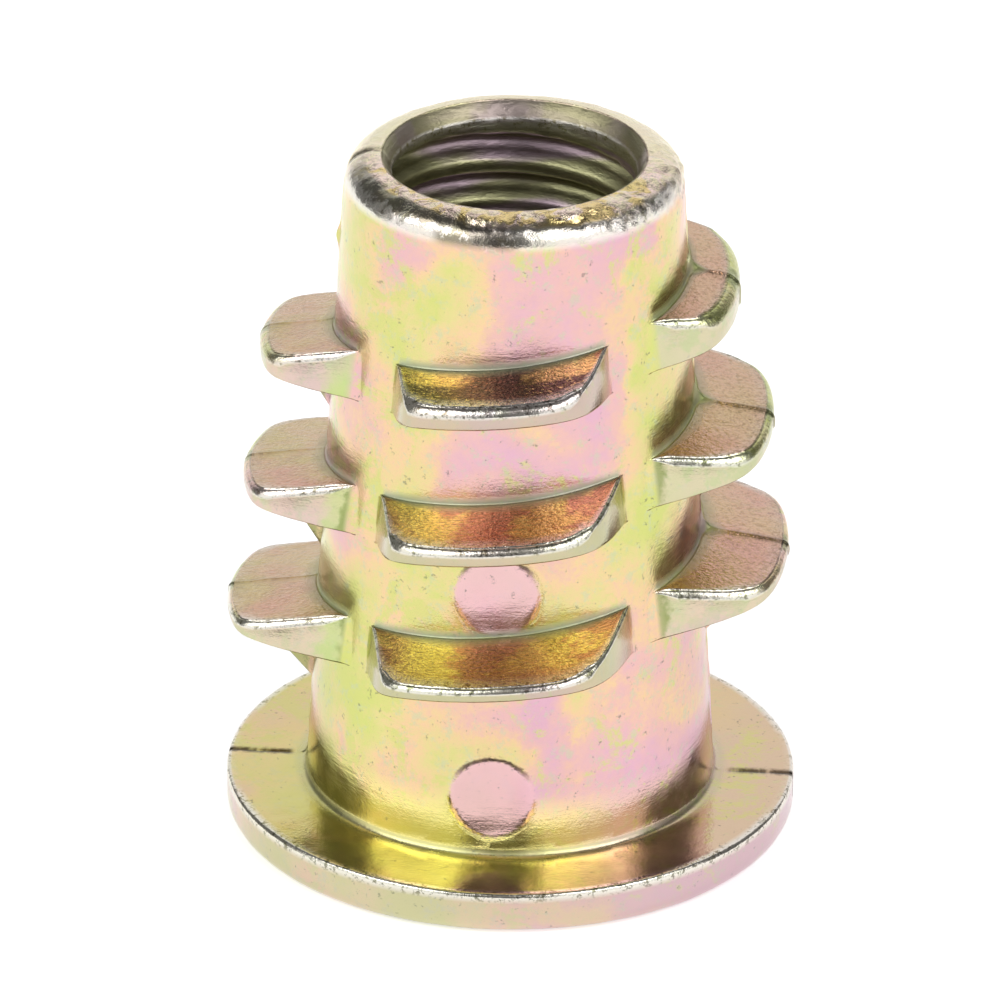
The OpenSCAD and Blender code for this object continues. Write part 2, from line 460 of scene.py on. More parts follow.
def bore(surface, angles, top_ring, bottom_ring):
    """The inner thread, a right-hand helix between the countersink and the socket's floor."""
    first = THREAD_CREST_Z - THREAD_PITCH / 4 + 2 * THREAD_PITCH
    turns_down = int((first - SOCKET_DEPTH) / THREAD_PITCH) + 3
    blocks = [thread_rows(angles, first - THREAD_PITCH * (k + 1)) for k in range(turns_down)]
    radius = np.concatenate([b[0] for b in blocks])
    z = np.concatenate([b[1] for b in blocks])
    worn = 0.6 * smooth_step(THREAD_TOP - 0.5, THREAD_TOP - 0.1, z)
    numbers = surface.add(radius * np.cos(angles), radius * np.sin(angles), z, inside=1.0, edge=worn)
    numbers = np.where(z > THREAD_TOP - SNAP, top_ring, numbers)
    numbers = np.where(z < SOCKET_DEPTH + SNAP, bottom_ring, numbers)
    rows_per_turn = len(blocks[0][0])
    # Angles rise from column to column here, so each turn ends that many rows higher
    join_spiral(surface, numbers[::-1], rows_per_turn)


def cast_shape():
    """The whole casting as one closed surface."""
    surface = Surface()
    turns = column_turns()
    theta = np.radians(45 - 360 * turns)
    ring_angles = np.arange(BORE_COLUMNS) * 2 * math.pi / BORE_COLUMNS
    hex_angles = np.arange(SOCKET_COLUMNS) * 2 * math.pi / SOCKET_COLUMNS

    top_ring = surface.ring(body_r(RIM_START), RIM_START, theta)
    foot_z = FLANGE_T + ROOT_FILLET
    bottom_ring = surface.ring(body_r(foot_z), foot_z, theta)
    outer_side(surface, turns, theta, top_ring, bottom_ring)

    rising = np.argsort(theta % (2 * math.pi))
    rising_angles = (theta % (2 * math.pi))[rising]
    lip = rim(surface, theta, top_ring)
    thread_top = surface.ring(BORE_R, THREAD_TOP, ring_angles, inside=1.0, edge=1.0)
    surface.zip(lip[rising], rising_angles, thread_top, ring_angles)

    floor_ring = surface.ring(BORE_R, SOCKET_DEPTH, ring_angles, inside=1.0)
    bore(surface, ring_angles, thread_top, floor_ring)

    foot = flange(surface, theta, bottom_ring)
    socket_mouth, socket_floor = hex_socket(surface, hex_angles)
    surface.zip(foot[rising], rising_angles, socket_mouth, hex_angles)
    surface.zip(socket_floor, hex_angles, floor_ring, ring_angles)
    return surface


# ================================================================== marks and grain


def grain(points, size, seed):
    """Smooth noise from -1 to 1 at each point, with lumps of about that size."""
    shift = Vector((seed * 7.3, seed * 3.1, seed * 5.7))
    return np.array([noise.noise(Vector(p) / size + shift) for p in points.tolist()])


def press_pin_marks(points, inside):
    """Flattens the front of the body where the ejector pins pressed."""
    for x, z in PIN_MARKS:
        away = np.hypot(points[:, 0] - x, points[:, 2] - z)
        near = (points[:, 1] < 0) & (inside == 0)
        near &= np.hypot(points[:, 0], points[:, 1]) < body_r(z) + 0.35
        weight = smooth_step(PIN_R + PIN_EDGE / 2, PIN_R - PIN_EDGE / 2, away) * near
        face_r = (body_r(z) + body_r(points[:, 2])) / 2
        points[:, 1] += (-face_r - points[:, 1]) * weight


def surface_relief(points, masks):
    """Height of the cast grain, the seams and the dents at each point."""
    x, y, z = points.T
    radius = np.hypot(x, y)
    flank, edge = masks["flank"], masks["edge"]
    outside = 1 - masks["inside"]
    tip = smooth_step(23.9, 24.5, z) * outside
    relief = 0.012 * grain(points, 1.6, 1) + 0.006 * grain(points, 0.5, 2)
    relief += flank * 0.02 * grain(points * (0.5, 0.5, 1), 0.35, 3)
    rough_to = ROUGH_LEFT_R + (ROUGH_FRONT_R - ROUGH_LEFT_R) * smooth_step(-3.0, -0.5, x)
    inner = smooth_step(rough_to + 0.2, rough_to - 0.1, radius) * smooth_step(2.0, -2.0, y)
    right = smooth_step(1.5, 4.0, x) * smooth_step(2.5, 0.5, y)
    rough = tip * (0.15 + 0.85 * np.maximum(inner, right))
    relief += rough * (0.08 * grain(points, 0.6, 4) + 0.075 * grain(points, 0.3, 5))
    first_turn = masks["inside"] * smooth_step(23.0, 23.8, z) * (z < THREAD_TOP + 0.01)
    relief += first_turn * 0.05 * grain(points, 0.45, 8)
    relief += edge * 0.008 * grain(points, 0.4, 6)

    lug = smooth_step(0.2, 0.8, radius - body_r(z)) * (z > FLANGE_T + 1)
    on_flange = (z < FLANGE_T + 0.1) & (radius > body_r(FLANGE_T) + 0.3)
    ridge = SEAM_RIDGE + LUG_RIDGE * lug * (x > 0) + SEAM_RIDGE * grain(points, 0.7, 7)
    ridge += BURR_RIDGE * np.exp(-((z - BURR_Z) / BURR_HALF_H) ** 2) * (x < 0)
    seam = np.exp(-(y / SEAM_HALF_W) ** 2)
    relief += outside * ridge * seam * ~on_flange
    relief -= outside * FLANGE_LINE_DEPTH * seam * on_flange * (z > 0.3)
    notch = np.exp(-(y / NOTCH_HALF_W) ** 2) * (x < 0) * smooth_step(24.0, 24.7, z)
    relief -= outside * NOTCH_DEPTH * notch
    return relief


def insert_mesh():
    """The finished mesh, in metres."""
    surface = cast_shape()
    points = np.concatenate(surface.points)
    masks = {name: np.concatenate(v) for name, v in surface.masks.items()}
    used = np.unique(np.concatenate([np.array(f) for f in surface.faces]))
    renumber = np.full(len(points), -1)
    renumber[used] = np.arange(len(used))
    points = points[used]
    masks = {name: v[used] for name, v in masks.items()}
    faces = [[int(renumber[p]) for p in f] for f in surface.faces]

    press_pin_marks(points, masks["inside"])
    mesh = bpy.data.meshes.new("insert_casting")
    mesh.from_pydata(points.tolist(), [], faces)
    orient_outwards(mesh)
    normals = np.empty(len(points) * 3)
    mesh.vertex_normals.foreach_get("vector", normals)
    normals = normals.reshape(-1, 3)
    relief = surface_relief(points, masks)
    resting = points[:, 2] < TINY
    relief[resting] = 0
    points = points + normals * relief[:, None]

    points[:, 2] = np.clip(points[:, 2], 0, LENGTH)
    radius = np.hypot(points[:, 0], points[:, 1])
    points[:, :2] *= np.minimum(1, FLANGE_R / radius)[:, None]
    mesh.vertices.foreach_set("co", (points * MM).ravel())
    for name, values in masks.items():
        mesh.attributes.new(name, "FLOAT", "POINT").data.foreach_set("value", values)
    mesh.polygons.foreach_set("use_smooth", np.ones(len(mesh.polygons), dtype=bool))
    mesh.update()
    return mesh


def orient_outwards(mesh):
    """Turns every face so that it looks out of the metal."""
    work = bmesh.new()
    work.from_mesh(mesh)
    bmesh.ops.recalc_face_normals(work, faces=work.faces)
    work.to_mesh(mesh)
    work.free()


# ================================================================== materials
#
# Here too x runs to the right, y away from the photograph's camera and z up, in millimetres. The
# numbers of a step are the places between which it changes, then what it gives before and after.


def colour(code):
    """Linear colour of a #rrggbb code."""
    parts = [int(code[i:i + 2], 16) / 255 for i in (1, 3, 5)]
    return tuple(c / 12.92 if c <= 0.04045 else ((c + 0.055) / 1.055) ** 2.4 for c in parts) + (1.0,)


class Nodes:
    """Adds nodes to one node tree and links them."""

    def __init__(self, tree):
        self.tree = tree
        tree.nodes.clear()

    def put(self, socket, value):
        """Links a node's output to a socket, or sets the socket to a plain value."""
        if isinstance(value, bpy.types.NodeSocket):
            self.tree.links.new(value, socket)
        else:
            socket.default_value = value

    def add(self, kind, inputs=(), **settings):
        node = self.tree.nodes.new(kind)
        for name, value in settings.items():
            setattr(node, name, value)
        for name, value in dict(inputs).items():
            self.put(node.inputs[name], value)
        return node

    def math(self, operation, a, b=0.0, c=0.0, clamp=False):
        node = self.add("ShaderNodeMath", {0: a, 1: b, 2: c}, operation=operation, use_clamp=clamp)
        return node.outputs[0]

    def plus(self, base, value, amount=1.0):
        """base + value * amount"""
        return self.math("MULTIPLY_ADD", value, amount, base)

    def times(self, product, *factors):
        """All the values multiplied."""
        for factor in factors:
            product = self.math("MULTIPLY", product, factor)
        return product

    def most(self, greatest, *others):
        """The greatest of the values."""
        for other in others:
            greatest = self.math("MAXIMUM", greatest, other)
        return greatest

    def rest(self, value):
        """1 less a value."""
        return self.math("SUBTRACT", 1.0, value)

    def size(self, value):
        """A value without its sign."""
        return self.math("ABSOLUTE", value)

    def hypot(self, a, b):
        """The long side of a right-angled triangle."""
        return self.math("SQRT", self.math("ADD", self.times(a, a), self.times(b, b)))

    def step(self, value, low, high, start=0.0, end=1.0):
        """start below low, end above high, and a smooth change between them."""
        node = self.add("ShaderNodeMapRange",
                        {"Value": value, "From Min": low, "From Max": high, "To Min": start, "To Max": end},
                        interpolation_type="SMOOTHSTEP")
        return node.outputs["Result"]

    def blend(self, factor, a, b):
        """Colour a where the factor is 0, and b where it is 1."""
        node = self.add("ShaderNodeMix", data_type="RGBA")
        # Sockets 0, 6 and 7 are the factor and the two colours; the others belong to other data types
        for place, value in ((0, factor), (6, a), (7, b)):
            self.put(node.inputs[place], value)
        return node.outputs[2]

    def noise(self, where, scale, detail=2.0, roughness=0.5, distortion=0.0):
        node = self.add("ShaderNodeTexNoise",
                        {"Vector": where, "Scale": scale, "Detail": detail, "Roughness": roughness,
                         "Distortion": distortion})
        return node.outputs[0]

    def scaled(self, vector, factors):
        node = self.add("ShaderNodeVectorMath", {0: vector, 1: factors}, operation="MULTIPLY")
        return node.outputs[0]

    def ramp(self, value, stops):
        """A colour that runs through (position, colour) stops."""
        node = self.add("ShaderNodeValToRGB", {"Fac": value})
        points = node.color_ramp.elements
        while len(points) < len(stops):
            points.new(0.5)
        for point, (position, tint) in zip(points, stops):
            point.position, point.color = position, tint
        return node.outputs[0]

    def attribute(self, name):
        return self.add("ShaderNodeAttribute", attribute_name=name).outputs["Fac"]


# Colours of the chromate, as they look on the metal; some also stand for painted highlights, glints,
# reflections and shade
LIME = colour("#c6ca78")
STRAW = colour("#d4c88a")
PEACH = colour("#e0c096")
ROSE = colour("#dcb2a8")
ORCHID = colour("#d4a8b8")
PINK = colour("#dcb0ba")
SHELL = colour("#f4dcd2")
SAGE = colour("#bac2a4")
LEAF = colour("#b4cc74")
MOSS = colour("#8a9458")
YELLOW = colour("#fcf094")
OCHRE = colour("#d6c680")
GOLD = colour("#ead07c")
COPPER = colour("#c88e72")
PAINTED_GLINT = colour("#ffeaa0")
BRONZE = colour("#8e6c50")
TAN = colour("#cca488")
SAND = colour("#f2e6c8")
BLUSH = colour("#cc9688")
CITRON = colour("#c6ae7c")
UMBER = colour("#3c2c1c")
SILVER = colour("#e8e6e0")
GREY = colour("#70746a")
LAND = colour("#b4ac98")
STONE = colour("#d6c4ba")
SLATE = colour("#5c6258")
DARK_REFLECTION = colour("#464a3e")
HUSK = colour("#f4ecc8")
PUTTY = colour("#b8acaa")
FILLET = colour("#a6b098")
OLIVE = colour("#a2a07a")
MAUVE = colour("#b09ca6")
MOUTH = colour("#9c9678")

# Millimetres round the body for each radian, for the patterns that run along it
AROUND_R = 7.0
BUMP_DISTANCE = 0.06 * MM
# Height above which the flange's upper face has given way to the body, and below which it has not
FLANGE_TOP = (FLANGE_T + 0.15, FLANGE_T + 0.05)
# Depth behind which there are no pin marks, and in front of which there are
PIN_SIDE = (-5.0, -5.5)


def chromate():
    """Yellow chromate on cast metal: a film whose tint wanders, worn edges, cast grain and seams, with some
    highlights, reflections and shade painted into the tint.
    """
    material = bpy.data.materials.new("zinc_body")
    material.use_nodes = True
    n = Nodes(material.node_tree)
    at = shading_point(n)
    tint = film(n, at)
    for layer in (lug_tints, rim_tints, bore_tints, edge_tints, seam_tints):
        tint = layer(n, at, tint)
    bump = n.add("ShaderNodeBump",
                 {"Height": grain_height(n, at), "Strength": 0.8, "Distance": BUMP_DISTANCE})
    rough = n.step(n.noise(at.mm, 1.1, 3.0), 0.35, 0.7, 0.16, 0.24)
    rough = n.plus(rough, n.step(at.z, *FLANGE_TOP), -0.05)
    rough = n.plus(rough, at.inside, 0.2)
    rough = n.plus(rough, at.root, 0.25)
    shader = n.add("ShaderNodeBsdfPrincipled",
                   {"Base Color": tint, "Metallic": 1.0, "Roughness": rough, "Normal": bump.outputs[0]})
    n.add("ShaderNodeOutputMaterial", {"Surface": shader.outputs[0]})
    return material


def shading_point(n):
    """What the tints and the grain go by: the place in millimetres, the place along the body, its
    distance from the axis, what it lies on, how near it is to the rim, and a fine noise."""
    mm = n.scaled(n.add("ShaderNodeTexCoord").outputs["Object"], (1 / MM, 1 / MM, 1 / MM))
    x, y, z = n.add("ShaderNodeSeparateXYZ", {0: mm}).outputs
    radius = n.hypot(x, y)
    around = n.times(n.math("ARCTAN2", y, x), AROUND_R)
    along = n.add("ShaderNodeCombineXYZ", {0: around, 1: radius, 2: z}).outputs[0]
    at = SimpleNamespace(mm=mm, x=x, y=y, z=z, radius=radius, along=along,
                         fine=n.noise(mm, 5.0, 4.0, 0.7), **{name: n.attribute(name) for name in MASKS})
    at.tip = n.times(n.step(z, 24.1, 24.5), n.rest(at.inside))
    return at


def edge_wear(n, at):
    """How far an edge is worn: little on the crests of the side lugs, which face away from the pull."""
    return n.most(n.step(n.size(at.y), 2.6, 3.6, 0.2, 1.0), n.step(at.radius, 9.8, 9.95))


def pin_distance(n, at, mark):
    """Distance of a place from the middle of an ejector-pin mark."""
    return n.hypot(n.plus(at.x, -mark[0]), n.plus(at.z, -mark[1]))


def film(n, at):
    """The film's tint: lime, straw, peach, rose and orchid in turn as it gets thicker."""
    wander = n.plus(n.noise(at.mm, 0.45, 4.0, 0.6), -0.5)
    x = n.plus(at.x, wander, 6.0)
    middle = n.times(n.step(x, -3.6, 0.0), n.step(x, 5.0, 2.6))
    thick = n.noise(at.mm, 0.22, 2.0, 0.45, 0.4)
    # Where the film is thicker or thinner: a stretch across the front, and how much at each height
    places = ((middle, n.step(at.z, 12.0, 17.0, 0.02, 0.1)),
              (n.step(x, 2.0, 4.0), n.step(at.z, 16.0, 18.5, -0.1, 0.1)),
              (n.step(x, 1.0, 3.5), n.step(at.z, 10.5, 8.0, 0.0, 0.22)),
              (n.step(x, -2.0, -4.5), n.step(at.z, 18.0, 9.0, 0.01, -0.05)),
              (n.step(x, 4.0, 5.4), n.step(at.z, 16.5, 19.0, 0.0, -0.14)),
              (n.step(x, 3.0, 5.0), n.step(at.z, 14.5, 12.5, 0.0, 0.1)),
              (middle, n.step(at.z, 9.5, 7.5, 0.0, -0.06)))
    for across, change in places:
        thick = n.plus(thick, across, change)
    thick = n.plus(thick, n.plus(at.fine, -0.5), 0.16)
    thick = n.plus(thick, n.plus(n.noise(at.mm, 1.0, 4.0, 0.6), -0.5), 0.14)
    tint = n.ramp(thick, ((0.34, LIME), (0.43, STRAW), (0.52, PEACH), (0.6, ROSE), (0.74, ORCHID)))
    stain = n.plus(n.noise(at.mm, 0.4, 5.0, 0.68, 0.6), at.fine, 0.3)
    stain = n.plus(stain, n.step(x, 0.0, -4.0, 0.0, 0.05))
    tint = n.blend(n.step(stain, 0.68, 0.8, 0.0, 0.8), tint, LIME)
    tint = n.blend(n.step(n.noise(at.mm, 1.6, 5.0, 0.75), 0.52, 0.66, 0.0, 0.5), tint, SAGE)
    tint = flange_tints(n, at, x, tint)
    tint = pin_tints(n, at, tint)
    pits = n.step(n.noise(at.mm, 3.0, 3.0, 0.8), 0.62, 0.72, 0.0, 0.55)
    return n.blend(pits, tint, SLATE)


def flange_tints(n, at, x, tint):
    """Yellow at the body's foot and olive on the front of the flange's upper face, both painted
    reflections; ochre on the upper face and putty on its side.
    """
    # Painted reflection of the flange's upper face: yellow at the foot, strongest in front and towards the
    # left.
    foot = n.times(n.step(at.z, 4.2, 2.4), n.step(at.y, 2.0, -3.0, 0.2, 0.8),
                   n.step(x, 1.0, 4.5, 1.0, 0.4), n.step(at.z, FLANGE_T + 0.05, FLANGE_T + 0.15))
    tint = n.blend(foot, tint, YELLOW)
    upper_face = n.times(n.step(at.z, *FLANGE_TOP), n.step(at.z, 1.2, 1.5))
    tint = n.blend(n.times(upper_face, 0.55), tint, OCHRE)
    # Painted dark reflection: olive on the front of the flange's upper face.
    tint = n.blend(n.times(upper_face, n.step(at.y, -6.0, -8.0, 0.0, 0.5)), tint, OLIVE)
    return n.blend(n.step(at.z, 1.5, 1.4, 0.0, 0.5), tint, PUTTY)


def pin_tints(n, at, tint):
    """Pink pin marks, with painted shade as a dark line over the top of each."""
    pin_side = n.step(at.y, *PIN_SIDE)
    for mark in PIN_MARKS:
        away = pin_distance(n, at, mark)
        disc = n.step(n.plus(away, at.fine, 0.4), PIN_R + 0.3, PIN_R + 0.1, 0.0, 0.85)
        tint = n.blend(n.times(disc, pin_side), tint, PINK)
        from_rim = n.plus(n.size(n.plus(away, -PIN_R)), at.fine, 0.16)
        # Painted shade: a dark line along the upper part of each mark's edge.
        line = n.times(n.step(from_rim, 0.18, 0.1), pin_side,
                       n.step(at.z, mark[1] + 0.6, mark[1] + 1.2, 0.0, 0.8))
        tint = n.blend(line, tint, UMBER)
    return tint


def lug_tints(n, at, tint):
    """Gold and brown upper flanks, pale lands and end faces, grey-green fillets and mossy webs."""
    flank = n.blend(n.step(at.y, -5.0, -4.0), front_flank(n, at), side_flank(n, at))
    tint = n.blend(n.times(at.flank, 0.85), tint, flank)
    pale = n.blend(n.step(n.noise(at.mm, 0.9, 5.0, 0.7), 0.42, 0.56), SAGE, STONE)
    pale = n.blend(n.step(n.size(at.y), 5.0, 4.6, 0.0, 0.6), LAND, pale)
    tint = n.blend(n.times(at.crest, 0.7), tint, pale)
    tint = end_face_tints(n, at, tint)
    tint = n.blend(n.times(at.root, n.step(at.y, -5.0, -4.0, 0.8, 0.5)), tint, FILLET)
    return n.blend(web_mask(n, at), tint, MOSS)


def front_flank(n, at):
    """Upper flanks of the front lugs: copper with gold to either side, painted shade on the top lug and at
    the left ends, and painted glints on the gold.
    """
    glow = n.plus(n.noise(n.scaled(at.along, (1, 1.6, 0.6)), 0.5, 3.0, 0.6, 0.5), at.fine, 0.3)
    fleck = n.noise(n.scaled(at.along, (0.8, 2.0, 1)), 6.5, 4.0, 0.75)
    x = n.plus(at.x, n.plus(glow, -0.65), 5.0)
    gold = n.math("ADD", n.step(n.size(n.plus(x, 2.6)), 1.7, 0.7),
                  n.step(n.size(n.plus(x, -2.0)), 1.5, 0.6), clamp=True)
    tint = n.blend(gold, COPPER, GOLD)
    tint = n.blend(n.step(fleck, 0.52, 0.36, 0.0, 0.75), tint, BRONZE)
    pink = n.times(n.step(at.radius, 8.5, 9.2), n.step(at.x, -1.5, 0.5, 0.1, 0.6))
    tint = n.blend(pink, tint, BLUSH)
    on_top = n.step(at.z, 16.5, 17.5)
    # Painted shade: the top lug darkened in its middle and away from its root, and the left ends of the
    # front flanks darkened too, broken up by flecks.
    painted_shade = n.most(n.times(n.step(n.size(x), 2.0, 0.8), on_top),
                     n.step(x, -3.4, -4.4),
                     n.times(on_top, n.step(at.radius, 7.0, 7.3)))
    painted_shade = n.times(painted_shade, n.step(fleck, 0.7, 0.5, 0.4, 1.0))
    tint = n.blend(painted_shade, tint, n.blend(on_top, BRONZE, UMBER))
    # Painted glints: bright flecks on the gold.
    return n.blend(n.times(gold, n.step(fleck, 0.54, 0.66, 0.0, 0.8)), tint, PAINTED_GLINT)


def side_flank(n, at):
    """Upper flanks of the side lugs: tan, browner and pinker in front and on the right."""
    glow = n.plus(n.noise(at.mm, 0.45, 2.0, 0.5), at.fine, 0.3)
    glow = n.plus(glow, n.step(at.y, -3.2, -1.0, -0.1, 0.02))
    glow = n.plus(glow, n.step(at.x, -1.0, 1.0, 0.05, -0.05))
    tint = n.ramp(glow, ((0.44, BLUSH), (0.6, TAN), (0.8, CITRON)))
    tint = n.blend(n.step(at.x, -1.0, 1.0, 0.0, 0.45), tint, ROSE)
    return n.blend(n.step(n.noise(at.mm, 6.0, 4.0, 0.75), 0.52, 0.38, 0.0, 0.4), tint, BRONZE)


def end_face_tints(n, at, tint):
    """Green on the side lugs' front end faces, near the body, and moss in the lower turns' corners."""
    end_face = n.times(n.step(at.y, -5.3, -5.1), n.step(at.y, -3.4, -3.7), at.crest)
    across = n.plus(n.size(at.x), n.noise(at.mm, 0.9, 4.0, 0.6), 1.6)
    green = n.times(n.step(at.z, 16.0, 17.0, 0.5, 0.8), n.step(at.x, -1.0, 1.0, 1.0, 0.2),
                    n.step(across, 7.5, 6.9))
    tint = n.blend(n.times(end_face, green), tint, LEAF)
    corner = n.times(n.step(across, 6.6, 6.3, 0.0, 0.8), n.step(at.z, 17.0, 16.0))
    return n.blend(n.times(end_face, corner), tint, MOSS)


def web_mask(n, at):
    """1 on the webs, which stand out from the body's taper at the seam."""
    out = n.plus(at.radius, at.z, (BODY_BASE_R - BODY_TIP_R) / TAPER_TOP)
    return n.times(n.step(out, BODY_BASE_R + 0.1, BODY_BASE_R + 0.25), n.step(n.size(at.y), 0.6, 0.4),
                   n.rest(at.crest), n.rest(at.flank), n.rest(at.inside),
                   n.step(at.z, 1.8, 2.2, 0.0, 0.7))


def rim_tints(n, at, tint):
    """The rough rim: tan grains inside with painted shade in their pits, gold in patches, and a painted
    silver highlight and painted dark reflection on the rolled edge.
    """
    front = n.step(at.y, 0.5, -2.0)
    cast = n.blend(n.step(n.noise(at.mm, 2.6, 4.0, 0.7), 0.4, 0.6), SHELL, SAND)
    patch = n.times(n.noise(at.mm, 0.7, 3.0, 0.6, 0.8), front)
    patch = n.plus(patch, n.step(at.x, 0.0, 2.0), 0.05)
    cast = n.blend(n.step(patch, 0.48, 0.56, 0.0, 0.8), cast, GOLD)
    # Painted shade in the cast pits: dark brown spots on the front of the rim.
    pits = n.step(n.noise(at.mm, 4.2, 4.0, 0.78), 0.46, 0.38, 0.0, 0.5)
    cast = n.blend(n.times(pits, front), cast, UMBER)
    # Painted highlight and painted dark reflection on the rolled edge: silver on its lower, outer part, and
    # dark in a band above it at the sides and in blotches across the middle.
    ragged = n.plus(at.radius, n.plus(n.noise(at.mm, 1.6, 5.0, 0.75), -0.5), 1.1)
    sides = n.times(n.step(ragged, 5.72, 5.56),
                    n.most(n.step(at.x, 0.0, -1.5), n.step(at.x, 2.8, 3.8)))
    middle = n.times(n.step(at.x, -2.6, -2.0), n.step(at.x, 0.8, 0.2),
                     n.step(n.noise(at.mm, 2.2, 5.0, 0.75), 0.6, 0.5))
    rolled = n.blend(n.times(n.most(sides, middle), 0.8), SILVER, DARK_REFLECTION)
    rough_to = n.step(at.x, -3.0, -0.5, ROUGH_LEFT_R, ROUGH_FRONT_R)
    outer = n.step(n.math("SUBTRACT", at.radius, rough_to), -0.15, 0.05, 0.0, 0.9)
    cast = n.blend(n.times(outer, front), cast, rolled)
    cast = n.blend(n.step(at.y, -1.5, 1.5, 0.0, 0.8), cast, HUSK)
    return n.blend(n.times(at.tip, 0.9), tint, cast)


def bore_tints(n, at, tint):
    """The bore and the socket: bands of olive and mauve, and a paler mouth."""
    band = n.noise(n.scaled(at.mm, (0.12, 0.12, 1)), 1.4, 2.0)
    deep = n.blend(n.step(band, 0.44, 0.6), OLIVE, MAUVE)
    mouth = n.blend(n.step(n.noise(at.mm, 0.5, 3.0), 0.45, 0.6, 0.0, 0.5), MOUTH, MAUVE)
    deep = n.blend(n.step(at.z, 24.5, 24.7, 0.0, 0.85), deep, mouth)
    return n.blend(at.inside, tint, deep)


def edge_tints(n, at, tint):
    """Bare metal on the worn edges, grey in spots."""
    worn = n.blend(at.inside, GREY, MOUTH)
    worn = n.blend(n.step(n.noise(at.mm, 4.0, 4.0, 0.75), 0.38, 0.48), worn, SILVER)
    sharp = n.times(n.most(at.inside, edge_wear(n, at)), 0.75)
    return n.blend(n.times(at.edge, sharp), tint, worn)


def seam_tints(n, at, tint):
    """The parting seam, dark across the flange and the rim's left, and faint on the lugs."""
    from_seam = n.plus(n.size(at.y), at.fine, 0.3)
    breaks = n.noise(n.scaled(at.along, (0.2, 1, 1)), 1.3, 3.0, 0.6)
    line = n.times(n.step(at.z, 0.1, 0.3), n.step(from_seam, 0.46, 0.2, 0.0, 0.9),
                   n.step(breaks, 0.36, 0.52, 0.25, 1.0))
    on_flange = n.times(n.step(at.z, *FLANGE_TOP), n.step(at.radius, 7.6, 7.9))
    on_lug = n.times(n.step(at.radius, 7.6, 8.0), n.step(at.x, -1.0, 1.0, 0.15, 0.5))
    on_rim = n.times(n.step(at.z, 24.2, 24.7), n.step(at.x, -4.5, -4.9, 0.0, 0.9))
    shown = n.times(line, n.most(on_flange, on_lug, on_rim), n.rest(at.inside))
    return n.blend(shown, tint, UMBER)


def grain_height(n, at):
    """Height of the fine grain, drawn out along the flanks and coarse on the rim's inner side."""
    fine = n.noise(at.mm, 9.0, 2.0, 0.65)
    scratch = n.noise(n.scaled(at.along, (0.5, 1, 5)), 1.6, 3.0, 0.7)
    streak = n.noise(n.scaled(at.along, (0.45, 3.0, 1)), 3.2, 3.0, 0.75)
    bumps = n.noise(at.mm, 7.0, 2.0, 0.6)
    coarse = n.noise(at.mm, 3.0, 4.0, 0.72)
    ripple = n.noise(n.scaled(at.along, (0.4, 1, 2)), 4.0, 3.0, 0.7)
    rim_grain = n.most(n.step(at.radius, 5.5, 5.0, 0.35, 1.9), n.step(at.x, 1.5, 4.0, 0.0, 1.7))
    parts = ((fine, 0.12),
             (scratch, 0.1),
             (streak, n.times(at.flank, 0.6)),
             (bumps, n.times(at.flank, 0.7)),
             (coarse, n.times(at.flank, n.times(n.step(at.y, -4.0, -1.0), 1.1))),
             (coarse, n.times(at.tip, rim_grain)),
             (ripple, n.times(at.inside, 0.5)),
             (coarse, n.times(at.edge, n.step(edge_wear(n, at), 0.2, 1.0, 0.8, 0.4))))
    height = 0.0
    for shape, amount in parts:
        height = n.plus(height, shape, amount)
    for mark in PIN_MARKS:
        away = n.plus(pin_distance(n, at, mark), coarse, 0.3)
        groove = n.times(n.step(n.size(n.plus(away, -PIN_R - 0.19)), 0.14, 0.0),
                         n.step(n.noise(at.mm, 0.6, 2.0), 0.4, 0.6, 0.15, 1.0),
                         n.step(at.y, *PIN_SIDE))
        height = n.plus(height, groove, -0.5)
    return height


FLOOR_COLOUR = (0.94, 0.94, 0.94, 1)
FLOOR_GLOW = 0.5


def floor_material():
    """A pale floor that keeps the object's shadow, and can't be seen from below."""
    material = bpy.data.materials.new("floor")
    material.use_nodes = True
    n = Nodes(material.node_tree)
    matt = n.add("ShaderNodeBsdfDiffuse", {"Color": FLOOR_COLOUR})
    path = n.add("ShaderNodeLightPath").outputs
    seen = n.most(path["Is Glossy Ray"], path["Is Transmission Ray"], path["Is Camera Ray"])
    glow = n.add("ShaderNodeEmission", {"Color": (1, 1, 1, 1), "Strength": n.times(seen, FLOOR_GLOW)})
    both = n.add("ShaderNodeAddShader", {0: matt.outputs[0], 1: glow.outputs[0]})
    below = n.add("ShaderNodeNewGeometry").outputs["Backfacing"]
    clear = n.add("ShaderNodeBsdfTransparent")
    shown = n.add("ShaderNodeMixShader", {0: below, 1: both.outputs[0], 2: clear.outputs[0]})
    n.add("ShaderNodeOutputMaterial", {"Surface": shown.outputs[0]})
    return material


# ================================================================== scene, in metres


# The middle of the casting, which the lamps and the camera look at
MIDDLE = (0, 0, 0.0125)
FLOOR_HALF = 3.0
# Just clear of the flange's resting face
FLOOR_Z = -0.00002


def add_object(name, data):
    """Adds an object to the scene."""
    thing = bpy.data.objects.new(name, data)
    bpy.context.scene.collection.objects.link(thing)
    return thing


def build_insert():
    """The casting, in place of its CAD node."""
    casting = add_object("insert_casting", insert_mesh())
    casting.data.materials.append(chromate())
    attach(casting, "root")
    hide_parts("insert_body")


def build_floor():
    """A wide floor under the flange."""
    mesh = bpy.data.meshes.new("floor")
    corners = [(-FLOOR_HALF, -FLOOR_HALF, FLOOR_Z), (FLOOR_HALF, -FLOOR_HALF, FLOOR_Z),
               (FLOOR_HALF, FLOOR_HALF, FLOOR_Z), (-FLOOR_HALF, FLOOR_HALF, FLOOR_Z)]
    mesh.from_pydata(corners, [], [(0, 1, 2, 3)])
    floor = add_object("floor", mesh)
    mesh.materials.append(floor_material())


